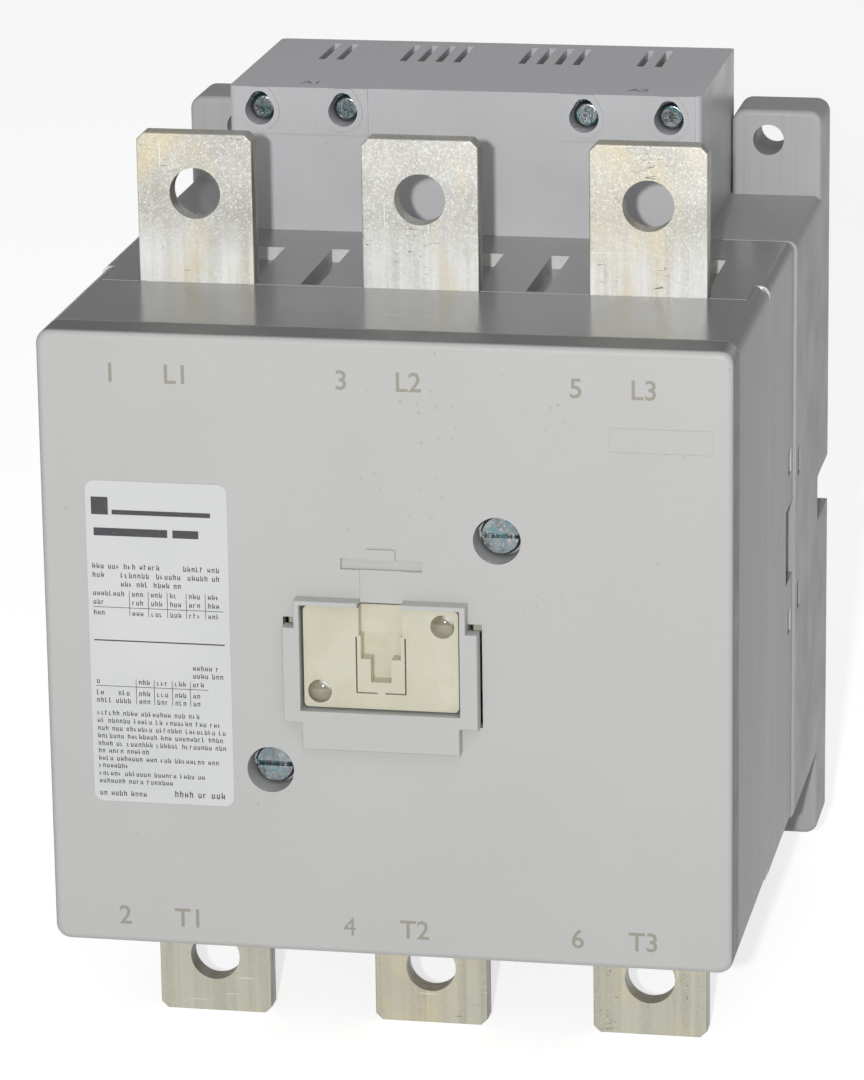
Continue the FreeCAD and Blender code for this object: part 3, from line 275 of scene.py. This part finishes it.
def tinned_bar(name):
    """Tin plate on copper: bright mottled metal, yellow stains, fine cracks, scratches and dark pits, with
    painted light near the housing and painted shade on the lower bars.
    """
    m = Nodes(name)
    coarse = m.noise(75, 5, 0.62, None, 0.5)
    tone = m.mix(m.spread(coarse, 0.32, 0.7), (0.46, 0.45, 0.41), (0.64, 0.63, 0.59))
    crystal = m.noise(2300, 4, 0.7)
    tone = m.mix(m.spread(crystal, 0.5, 0.66, 0.0, 0.75), tone, (0.95, 0.945, 0.91))
    tone = m.mix(m.spread(crystal, 0.46, 0.34, 0.0, 0.45), tone, (0.50, 0.49, 0.44))
    # Painted light: a bright band on the upper bars near the housing, also made less metallic
    painted_light_band = m.spread(m.at.outputs["Z"], LIGHT_BAND_TO, LIGHT_BAND_FROM)
    stripes = m.noise(1, 3, 0.6, m.scaled((420, 420, 9)))
    painted_light_band = m.math("MULTIPLY", painted_light_band, m.spread(stripes, 0.32, 0.6, 0.35, 0.9))
    tone = m.mix(painted_light_band, tone, (0.96, 0.955, 0.93))
    # Painted shade: the lower bars, under the housing, are painted darker and yellower
    lower_bar_shade = m.spread(m.at.outputs["Z"], 0.01, -0.01, 0.0, 0.75)
    tone = m.mix(lower_bar_shade, tone, (0.51, 0.49, 0.37), "MULTIPLY")
    stain = m.noise(1, 5, 0.65, m.scaled((46, 46, 22)), 1.2)
    tone = m.mix(m.spread(stain, 0.5, 0.7, 0.0, 0.65), tone, (0.76, 0.64, 0.38))
    drip = m.noise(1, 3, 0.6, m.scaled((520, 300, 12)))
    tone = m.mix(m.spread(drip, 0.6, 0.74, 0.0, 0.4), tone, (0.86, 0.72, 0.44))
    grey = m.noise(28, 4, 0.55, m.scaled((1, 1, 1), (0.3, 0.7, 1.1)))
    tone = m.mix(m.spread(grey, 0.56, 0.74, 0.0, 0.5), tone, (0.45, 0.45, 0.43))
    cut = m.noise(1, 3, 0.6, m.scaled((420, 900, 2300), (0.0, 0.22, 0.0)), 0.8)
    cut_patch = m.spread(m.noise(75, 2, 0.5, m.scaled((1, 1, 1), (0.4, 0.9, 0.2))), 0.5, 0.62)
    line = m.math("MULTIPLY", m.spread(cut, 0.635, 0.68), cut_patch)
    pits = m.math("MULTIPLY", m.spread(m.cells(900), 0.18, 0.1), m.spread(m.noise(110, 2), 0.63, 0.7))
    flank = m.spread(m.math("ABSOLUTE", m.facing.outputs["X"], 0.0), 0.5, 0.9)
    grain = m.noise(1, 3, 0.6, m.scaled((200, 200, 30)))
    brown = m.mix(m.spread(grain, 0.35, 0.65), (0.20, 0.18, 0.145), (0.58, 0.56, 0.50))
    tone = m.mix(flank, tone, brown)
    dark = m.math("MAXIMUM", line, pits)
    tone = m.mix(m.math("MULTIPLY", dark, 0.85), tone, (0.10, 0.09, 0.07))
    scratch = m.noise(1, 2, 0.5, m.scaled((60, 900, 1500), (0.0, 0.5, 0.0)))
    scratch_2 = m.noise(1, 2, 0.5, m.scaled((1300, 900, 50), (0.0, -0.25, 0.0)))
    lines = m.math("MAXIMUM", m.spread(scratch, 0.7, 0.74), m.spread(scratch_2, 0.71, 0.75))
    tone = m.mix(m.math("MULTIPLY", lines, 0.6), tone, (0.96, 0.95, 0.92))
    rough = m.math("ADD", m.spread(coarse, 0.3, 0.7, 0.36, 0.5), m.math("MULTIPLY", dark, 0.25))
    plated = m.math("SUBTRACT", m.spread(dark, 0, 1, 0.4, 0.1), m.math("MULTIPLY", painted_light_band, 0.22))
    m.set(base_color=tone, metallic=plated, roughness=rough)
    m.bump(m.noise(900, 4, 0.7), 0.35, 0.00015)
    m.bump(m.math("SUBTRACT", 1.0, dark), 0.5, 0.00015)
    return m.material


def metal(name, colour, rough, tint=None, wear=0.5):
    """Turned or pressed metal with a mottled film, painted glints and fine marks."""
    m = Nodes(name)
    film = m.noise(420, 4, 0.65)
    tone = m.mix(m.spread(film, 0.35, 0.65), tuple(c * 0.5 for c in colour), colour)
    if tint:
        tone = m.mix(m.spread(m.noise(520, 3, 0.5), 0.5, 0.62, 0, 0.8), tone, tint)
    # Painted highlight: small bright glints painted into the colour
    painted_glints = m.noise(1900, 2, 0.5)
    tone = m.mix(m.spread(painted_glints, 0.6, 0.7, 0.0, 0.6), tone, tuple(min(1.0, c * 1.8) for c in colour))
    m.set(base_color=tone, metallic=1.0, roughness=m.spread(film, 0.3, 0.7, rough - 0.08, rough + 0.1))
    m.bump(m.noise(900, 3, 0.6), 0.15 * wear, 0.0001)
    return m.material


def laminated(name):
    """Stacked sheets along Z, with the thin dark gap between each pair."""
    m = Nodes(name)
    wave = m.add("ShaderNodeTexWave", wave_type="BANDS", bands_direction="Z", wave_profile="SAW")
    wave.inputs["Scale"].default_value = 314.0
    wave.inputs["Distortion"].default_value = 0.15
    m.link(m.place, wave.inputs["Vector"])
    gap = m.spread(wave.outputs["Fac"], 0.86, 0.97)
    tone = m.mix(m.spread(m.noise(60, 4), 0.3, 0.7), (0.20, 0.21, 0.23), (0.36, 0.37, 0.39))
    tone = m.mix(gap, tone, (0.03, 0.03, 0.03))
    m.set(base_color=tone, metallic=0.9, roughness=m.spread(m.noise(200, 3), 0.3, 0.7, 0.38, 0.55))
    m.bump(m.math("SUBTRACT", 1.0, gap), 0.5, 0.0001)
    return m.material


def wound(name):
    """Enamelled wire in layers: a fine ribbing along the depth, with painted shade between the turns."""
    m = Nodes(name)
    wave = m.add("ShaderNodeTexWave", wave_type="BANDS", bands_direction="Y", wave_profile="SIN")
    wave.inputs["Scale"].default_value = 500.0
    m.link(m.place, wave.inputs["Vector"])
    # Painted shade: the colour darkens between the turns of wire
    tone = m.mix(wave.outputs["Fac"], (0.16, 0.06, 0.015), (0.62, 0.30, 0.10))
    m.set(base_color=tone, metallic=0.8, roughness=m.spread(m.noise(150, 3), 0.3, 0.7, 0.25, 0.4))
    m.bump(wave.outputs["Fac"], 0.8, 0.0003)
    return m.material


def fibre_sheet(name, colour):
    """Pressed fibre, matt and faintly streaked."""
    m = Nodes(name)
    tone = m.mix(m.spread(m.noise(1, 4, 0.6, m.scaled((300, 300, 60))), 0.3, 0.7),
                 tuple(c * 0.75 for c in colour), colour)
    m.set(base_color=tone, roughness=m.spread(m.noise(200, 3), 0.3, 0.7, 0.65, 0.8))
    m.bump(m.noise(700, 3, 0.6), 0.3, 0.0002)
    return m.material


def cream(name):
    """The cream moulding, faintly yellowed and translucent at its edges."""
    m = Nodes(name)
    tone = m.mix(m.spread(m.noise(70, 4, 0.6), 0.3, 0.7), (0.565, 0.54, 0.415), (0.64, 0.62, 0.50))
    tone = m.mix(m.spread(m.noise(320, 3), 0.56, 0.72, 0.0, 0.3), tone, (0.52, 0.47, 0.31))
    m.set(base_color=tone, roughness=m.spread(m.noise(150, 3), 0.3, 0.7, 0.34, 0.46))
    m.shader.inputs["Subsurface Weight"].default_value = 0.15
    m.shader.inputs["Subsurface Scale"].default_value = 0.0012
    m.bump(m.noise(800, 2), 0.1, 0.0001)
    return m.material


def smoke_head(name):
    """Glossy smoke coloured plastic, with a painted highlight where it faces up and to the right and
    painted shade where it faces down.
    """
    m = Nodes(name)
    tone = m.mix(m.spread(m.noise(420, 3), 0.3, 0.7), (0.20, 0.185, 0.12), (0.30, 0.28, 0.19))
    # Painted shade where the head faces down, painted highlight where it faces up and to the right
    lit = m.math("ADD", m.facing.outputs["Z"], m.math("MULTIPLY", m.facing.outputs["X"], 0.8))
    tone = m.mix(m.spread(lit, 0.05, -0.5, 0.0, 0.45), tone, (0.13, 0.115, 0.06))
    tone = m.mix(m.spread(lit, 0.5, 0.62, 0.0, 0.8), tone, (0.80, 0.80, 0.77))
    m.set(base_color=tone, roughness=m.spread(m.noise(300, 2), 0.3, 0.7, 0.05, 0.1))
    m.shader.inputs["Coat Weight"].default_value = 1.0
    m.shader.inputs["Coat Roughness"].default_value = 0.06
    return m.material


def printed(name, colour, worn=0.25):
    """Printed ink, thin and slightly broken."""
    m = Nodes(name)
    tone = m.mix(m.spread(m.noise(900, 3, 0.6), 0.55, 0.75, 0.0, worn), colour,
                 tuple(c + (0.55 - c) * 0.6 for c in colour))
    m.set(base_color=tone, roughness=m.spread(m.noise(400, 2), 0.3, 0.7, 0.45, 0.55))
    return m.material


def film(name):
    """The label's white film, with a faint ripple."""
    m = Nodes(name)
    tone = m.mix(m.spread(m.noise(40, 3), 0.3, 0.7), (0.62, 0.63, 0.625), (0.665, 0.67, 0.665))
    m.set(base_color=tone, roughness=m.spread(m.noise(120, 2), 0.3, 0.7, 0.36, 0.44))
    m.bump(m.noise(90, 2), 0.06, 0.0003)
    return m.material


def black(name, rough):
    """Black rubber or plastic."""
    m = Nodes(name)
    tone = m.mix(m.spread(m.noise(200, 3), 0.3, 0.7), (0.02, 0.02, 0.02), (0.05, 0.05, 0.05))
    m.set(base_color=tone, roughness=m.spread(m.noise(500, 3), 0.3, 0.7, rough - 0.08, rough + 0.08))
    m.bump(m.noise(1200, 2), 0.2, 0.0001)
    return m.material


MATERIALS = {
    "cover_plastic": moulded("cover_plastic", (0.51, 0.513, 0.50), 0.45, grain=0.1, cloud=0.02,
                             specks=0.35, painted_rim_shade=0.8),
    "body_plastic": satin_body("body_plastic"),
    "coil_box_plastic": moulded("coil_box_plastic", (0.56, 0.56, 0.572), 0.34, grain=0.18, cloud=0.05,
                                specks=0.4, painted_top_light=0.25),
    "base_plastic": moulded("base_plastic", (0.435, 0.44, 0.43), 0.5, grain=0.2, cloud=0.05,
                            specks=0.4, streaks=0.07),
    "label": film("label"),
    "cream_plastic": cream("cream_plastic"),
    "pin_plastic": smoke_head("pin_plastic"),
    "tinned_copper": tinned_bar("tinned_copper"),
    "copper": metal("copper", (0.80, 0.46, 0.31), 0.32),
    "silver_alloy": metal("silver_alloy", (0.80, 0.79, 0.76), 0.4),
    "zinc_steel": metal("zinc_steel", (0.30, 0.32, 0.33), 0.24, (0.12, 0.24, 0.27), wear=7.0),
    "spring_steel": metal("spring_steel", (0.5, 0.51, 0.52), 0.3),
    "arc_steel": metal("arc_steel", (0.56, 0.50, 0.45), 0.38),
    "fibre": fibre_sheet("fibre", (0.42, 0.27, 0.15)),
    "laminated_iron": laminated("laminated_iron"),
    "rubber": black("rubber", 0.7),
    "bobbin_plastic": black("bobbin_plastic", 0.42),
    "winding": wound("winding"),
}
for part in frame["record"]["subparts"]:
    mesh = nodes[part["node"]].data
    mesh.materials.clear()
    mesh.materials.append(MATERIALS[part["material_slot"]])


# Pieces


def piece(name, mesh, material, body="housing"):
    """A mesh of this script as a piece that rides on a body."""
    made = bpy.data.objects.new(name, mesh)
    bpy.context.scene.collection.objects.link(made)
    mesh.materials.clear()
    mesh.materials.append(material)
    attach(made, body)
    return made


# Springs: each piece stands for its node, because a spring grows shorter as the carrier moves in


def spring(node, body):
    """A copy of a spring node's mesh that rides on a body, with the node itself hidden."""
    made = piece(node + "_coils", nodes[node].data.copy(), MATERIALS["spring_steel"], body)
    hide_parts(node)
    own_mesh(made)


spring("return_springs", "housing")
for pole in POLES:
    spring("contact_spring_" + pole, "carrier")


# Prints

# A capital's height at size 1, how much a stroke is thickened, the text that this would close up
LETTER_CAPITAL = 0.729
STROKE_SPARE = 0.07 * MM
NARROW_INSIDE = "4"
INK_T = 0.05 * MM


def text_mesh(text, height, turn):
    """Letters as a mesh, thickened a little, centred on the origin and turned about X."""
    curve = bpy.data.curves.new("letters", "FONT")
    curve.body = text
    curve.size = height / LETTER_CAPITAL
    curve.offset = 0.0 if text in NARROW_INSIDE else STROKE_SPARE
    curve.extrude = INK_T / 2
    curve.align_x = "CENTER"
    holder = bpy.data.objects.new("letters", curve)
    bpy.context.scene.collection.objects.link(holder)
    bpy.context.view_layer.update()
    mesh = bpy.data.meshes.new_from_object(holder)
    bpy.data.objects.remove(holder)
    bpy.data.curves.remove(curve)
    centred = Matrix.Translation((0, -height / 2, 0))
    mesh.transform(Matrix.Rotation(math.radians(turn), 4, "X") @ centred)
    return mesh


def joined(name, meshes):
    """One mesh out of several, each with its place."""
    bm = bmesh.new()
    for mesh in meshes:
        bm.from_mesh(mesh)
        bpy.data.meshes.remove(mesh)
    mesh = bpy.data.meshes.new(name)
    bm.to_mesh(mesh)
    bm.free()
    return mesh


PLATE_FACES = ((0, 1, 2, 3), (7, 6, 5, 4), (0, 4, 5, 1), (1, 5, 6, 2), (2, 6, 7, 3), (3, 7, 4, 0))


def plates_mesh(name, plates, front, back):
    """Thin upright plates, each given by its left, right, lower and upper edge."""
    points, faces = [], []
    for left, right, low, high in plates:
        first = len(points)
        for y in (front, back):
            points += [(left, y, low), (right, y, low), (right, y, high), (left, y, high)]
        faces += [tuple(first + corner for corner in face) for face in PLATE_FACES]
    mesh = bpy.data.meshes.new(name)
    mesh.from_pydata(points, [], faces)
    return mesh


# The terminal marks: two beside each bar on the cover, and two on the coil terminal housing

COVER_AHEAD_OF_BARS = 44.6 * MM
COVER_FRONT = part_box("line_bar_l1")[0].y - COVER_AHEAD_OF_BARS
BAR_X = [(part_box("line_bar_l" + n)[0].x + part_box("line_bar_l" + n)[1].x) / 2 for n in POLES]
MARK_H = 4.2 * MM
MARK_ROWS = (
    # height of the row, letter, first number, offsets of the number and of the letter from the bar
    (58.3 * MM, "L", 1, -8.2 * MM, 5.7 * MM),
    (-60.35 * MM, "T", 2, -8.5 * MM, 5.4 * MM),
)
COIL_MARK_H = 2.9 * MM
COIL_MARK_X = (-35.0 * MM, 38.0 * MM)
COIL_MARK_INSET = 6.5 * MM


def terminal_marks():
    meshes = []
    for z, letter, first, number_dx, letter_dx in MARK_ROWS:
        for i, x in enumerate(BAR_X):
            for text, dx in ((str(2 * i + first), number_dx), (letter + POLES[i], letter_dx)):
                mesh = text_mesh(text, MARK_H, 90)
                mesh.transform(Matrix.Translation((x + dx, COVER_FRONT, z)))
                meshes.append(mesh)
    return joined("terminal_marks", meshes)


def coil_marks():
    low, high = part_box("coil_terminal_housing")
    meshes = []
    for n, x in enumerate(COIL_MARK_X):
        mesh = text_mesh("A%d" % (n + 1), COIL_MARK_H, 0)
        mesh.transform(Matrix.Translation((x, low.y + COIL_MARK_INSET, high.z)))
        meshes.append(mesh)
    return joined("coil_marks", meshes)


piece("terminal_marks", terminal_marks(), printed("mark_ink", (0.33, 0.305, 0.26), 0.0))
piece("coil_marks", coil_marks(), printed("faint_ink", (0.27, 0.27, 0.28)))


# The label's print: rows of small blocks with ruled lines between them.
# Places are in millimetres from the label's left edge and top edge.

PRINT_T = 0.03 * MM
PRINT_BARS = (
    # left end, right end, middle, height
    (5.6, 26.5, 6.7, 1.0), (1.6, 17.3, 11.0, 1.7), (18.4, 23.9, 11.0, 1.7),
)
PRINT_ROWS = (
    # left end, right end, middle of the row, height of its blocks
    (1.1, 16.4, 18.4, 1.15), (20.5, 28.8, 18.4, 1.15),
    (1.1, 4.2, 20.3, 1.15), (7.1, 13.2, 20.3, 1.15), (14.7, 20.1, 20.3, 1.15), (21.4, 28.8, 20.3, 1.15),
    (7.1, 13.2, 22.2, 1.15), (14.1, 20.0, 22.2, 1.15),
    (1.1, 8.3, 24.3, 1.1), (1.1, 3.4, 26.2, 1.1), (1.1, 3.5, 28.5, 1.1),
    (22.0, 28.2, 39.9, 1.1), (22.0, 28.5, 41.6, 1.1),
    (1.3, 2.1, 43.5, 1.1), (1.2, 3.0, 46.0, 1.1), (5.9, 8.8, 46.0, 1.1), (1.2, 8.8, 47.7, 1.1),
    (1.2, 23.7, 50.5, 1.05), (1.2, 27.8, 52.2, 1.05), (1.2, 29.0, 53.9, 1.05), (1.2, 28.6, 55.55, 1.05),
    (1.2, 28.9, 57.25, 1.05), (1.2, 12.4, 58.85, 1.05), (1.2, 27.3, 60.5, 1.05), (1.2, 7.8, 62.1, 1.05),
    (1.2, 24.1, 63.85, 1.05), (1.2, 18.2, 65.5, 1.05),
    (1.2, 11.5, 68.2, 1.15), (17.4, 28.6, 67.8, 1.35),
)
PRINT_TABLES = (
    # first divider, distance between dividers, their number, upper and lower end, middles of the rows
    (8.8, 4.05, 5, 23.7, 29.2, (24.3, 26.2, 28.5)),
    (9.7, 3.87, 4, 42.9, 48.4, (43.5, 46.0, 47.7)),
)
PRINT_RULES = (
    # left end, right end, place, thickness
    (1.0, 28.8, 27.35, 0.12), (1.0, 28.9, 34.6, 0.28), (1.1, 25.2, 44.6, 0.12),
)
PRINT_BLOCK = (1.2, 4.8, 3.5, 7.3)
DIVIDER_T = 0.12
CELL_INSET = 0.6
CELL_TEXT = 2.75
CELL_LETTER = 1.1
STROKE = 0.16
LETTER_PITCH = 0.78
LETTER_W = 0.52
WORD_LETTERS = (2, 8)
WORD_GAP = 1.75
SHORT_LETTER = 0.74
TALL_SHARE = 0.35
CLOSED_SHARE = 0.8
SEED = 4


def letter_blocks(left, foot, height, dice):
    """One block letter: two uprights and a crossing stroke, in one of a few forms."""
    stroke = STROKE * height
    right = left + LETTER_W * height
    tall = dice.random() < TALL_SHARE
    low_top = foot - SHORT_LETTER * height
    strokes = [(left, left + stroke, foot - height if tall else low_top, foot)]
    if dice.random() < CLOSED_SHARE:
        strokes.append((right - stroke, right, low_top, foot))
    crossing = dice.choice((foot - stroke, (foot + low_top) / 2, low_top))
    strokes.append((left + stroke, right - stroke, crossing, crossing + stroke))
    return strokes


def row_blocks(left, right, middle, height, dice):
    """A row of block words from one end to the other."""
    strokes = []
    x = left
    letters = dice.randint(*WORD_LETTERS)
    while x + LETTER_W * height <= right:
        strokes += letter_blocks(x, middle + height / 2, height, dice)
        letters -= 1
        x += LETTER_PITCH * height * (1.0 if letters else WORD_GAP)
        if not letters:
            letters = dice.randint(*WORD_LETTERS)
    return strokes


def label_print():
    dice = random.Random(SEED)
    shapes = [PRINT_BLOCK]
    for row in PRINT_ROWS:
        shapes += row_blocks(*row, dice)
    for first, step, count, top, bottom, middles in PRINT_TABLES:
        for n in range(count):
            x = first + n * step
            shapes.append((x - DIVIDER_T / 2, x + DIVIDER_T / 2, top, bottom))
            for middle in middles:
                left = x + CELL_INSET
                shapes += row_blocks(left, left + CELL_TEXT, middle, CELL_LETTER, dice)
    for left, right, place, thick in PRINT_RULES + PRINT_BARS:
        shapes.append((left, right, place - thick / 2, place + thick / 2))
    low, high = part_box("rating_label")
    plates = []
    for x0, x1, z0, z1 in shapes:
        lower, upper = sorted((high.z - z0 * MM, high.z - z1 * MM))
        plates.append((low.x + x0 * MM, low.x + x1 * MM, lower, upper))
    return plates_mesh("label_print", plates, low.y - PRINT_T, low.y + PRINT_T)


piece("label_print", label_print(), printed("label_ink", (0.05, 0.05, 0.055), 0.1))


# Floor, light and camera

FLOOR_Z = cad_box[0].z - 0.2 * MM
FLOOR_HALF = 6.0
FLOOR_GLOW = 0.68


def floor():
    """A white floor that looks lit from within to the camera and in reflections."""
    mesh = bpy.data.meshes.new("floor")
    turns = ((-1, -1), (1, -1), (1, 1), (-1, 1))
    corners = [(x * FLOOR_HALF, y * FLOOR_HALF, 0) for x, y in turns]
    mesh.from_pydata(corners, [], [(0, 1, 2, 3)])
    made = bpy.data.objects.new("floor", mesh)
    bpy.context.scene.collection.objects.link(made)
    made.location.z = FLOOR_Z
    m = Nodes("floor")
    m.set(base_color=(0.8, 0.8, 0.8), roughness=0.9)
    m.shader.inputs["Specular IOR Level"].default_value = 0.0
    rays = m.add("ShaderNodeLightPath")
    seen = m.math("MAXIMUM", rays.outputs["Is Camera Ray"], rays.outputs["Is Glossy Ray"])
    seen = m.math("MAXIMUM", seen, rays.outputs["Is Transmission Ray"])
    m.set(emission_color=(1.0, 1.0, 1.0))
    m.link(m.math("MULTIPLY", seen, FLOOR_GLOW), m.shader.inputs["Emission Strength"])
    mesh.materials.append(m.material)


floor()


LIGHT_AIM = (0, -0.1, 0)


def area_light(name, place, size, power):
    data = bpy.data.lights.new(name, "AREA")
    data.shape = "RECTANGLE"
    data.size, data.size_y = size
    data.energy = power
    made = bpy.data.objects.new(name, data)
    bpy.context.scene.collection.objects.link(made)
    made.location = place
    made.rotation_euler = (Vector(LIGHT_AIM) - Vector(place)).to_track_quat("-Z", "Y").to_euler()


area_light("key", (0.18, -1.49, 0.42), (0.03, 0.03), 11.3)
area_light("fill", (0.2, -1.2, 0.95), (1.1, 0.9), 2.8)

WORLD_COLOUR = (0.97, 0.985, 1.0, 1.0)
WORLD_STRENGTH = 0.26
world = bpy.data.worlds.new("studio")
bpy.context.scene.world = world
world.use_nodes = True
world.node_tree.nodes["Background"].inputs["Color"].default_value = WORLD_COLOUR
world.node_tree.nodes["Background"].inputs["Strength"].default_value = WORLD_STRENGTH

# The camera: place in millimetres, azimuth, elevation, roll and focal length in pixels, fitted to
# points of the photograph
CAMERA_AT = (208.2, -1179.3, 328.8)
CAMERA_AZIMUTH = 10.99
CAMERA_ELEVATION = 16.31
CAMERA_ROLL = -0.82
FOCAL_PIXELS = 5278.0
PHOTO_H = 1080
SENSOR = 36.0
CLIP_START = 50 * MM

camera_data = bpy.data.cameras.new("camera")
camera_data.sensor_width = SENSOR
camera_data.lens = SENSOR * FOCAL_PIXELS / PHOTO_H
camera_data.clip_start = CLIP_START
camera = bpy.data.objects.new("camera", camera_data)
bpy.context.scene.collection.objects.link(camera)
azimuth, elevation = math.radians(CAMERA_AZIMUTH), math.radians(CAMERA_ELEVATION)
back = Vector((math.sin(azimuth) * math.cos(elevation), -math.cos(azimuth) * math.cos(elevation),
               math.sin(elevation)))
turn = back.to_track_quat("Z", "Y").to_matrix().to_4x4()
turn = turn @ Matrix.Rotation(math.radians(CAMERA_ROLL), 4, "Z")
camera.matrix_world = Matrix.Translation(Vector(CAMERA_AT) * MM) @ turn
bpy.context.scene.camera = camera
bpy.context.scene.view_settings.view_transform = "Standard"
